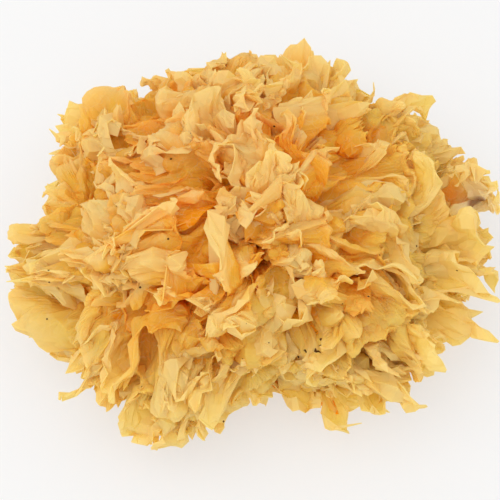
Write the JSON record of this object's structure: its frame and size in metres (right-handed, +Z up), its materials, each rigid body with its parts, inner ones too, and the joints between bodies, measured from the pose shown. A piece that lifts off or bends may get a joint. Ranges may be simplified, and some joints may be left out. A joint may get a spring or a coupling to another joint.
{
  "type": "snow fungus",
  "caption": "Dried snow fungus head: thin, wavy, ragged fronds in warm yellow fill a low dome over a tough lumpy base that is cut off flat underneath.",
  "frame": {"origin": "middle of the flat cut underneath, on the surface that the head stands on", "axes": "+Z up, +X along the longest side of the head, -Y towards the side with the low bay in its outline"},
  "size_m": [0.1267, 0.1117, 0.0604],
  "materials": {
    "frond": "dry, thin and translucent, pale yellow at the rims and deeper orange inside",
    "base": "dry, tough and matte"
  },
  "bodies": {
    "root": {"base": "base", "frond_01": "frond", "frond_02": "frond", "frond_03": "frond", "frond_04": "frond", "frond_05": "frond", "frond_06": "frond", "frond_07": "frond", "frond_08": "frond", "frond_09": "frond", "frond_10": "frond", "frond_11": "frond", "frond_12": "frond", "frond_13": "frond", "frond_14": "frond", "frond_15": "frond", "frond_16": "frond", "frond_17": "frond", "frond_18": "frond", "frond_19": "frond", "frond_20": "frond", "frond_21": "frond", "frond_22": "frond", "frond_23": "frond", "frond_24": "frond", "frond_25": "frond", "frond_26": "frond", "frond_27": "frond", "frond_28": "frond", "frond_29": "frond", "frond_30": "frond", "frond_31": "frond", "frond_32": "frond", "frond_33": "frond", "frond_34": "frond", "frond_35": "frond", "frond_36": "frond", "frond_37": "frond", "frond_38": "frond", "frond_39": "frond", "frond_40": "frond", "frond_41": "frond", "frond_42": "frond", "frond_43": "frond", "frond_44": "frond", "frond_45": "frond", "frond_46": "frond", "frond_47": "frond", "frond_48": "frond", "frond_49": "frond", "frond_50": "frond", "frond_51": "frond", "frond_52": "frond", "frond_53": "frond", "frond_54": "frond", "frond_55": "frond", "frond_56": "frond", "frond_57": "frond", "frond_58": "frond"}
  },
  "joints": []
}
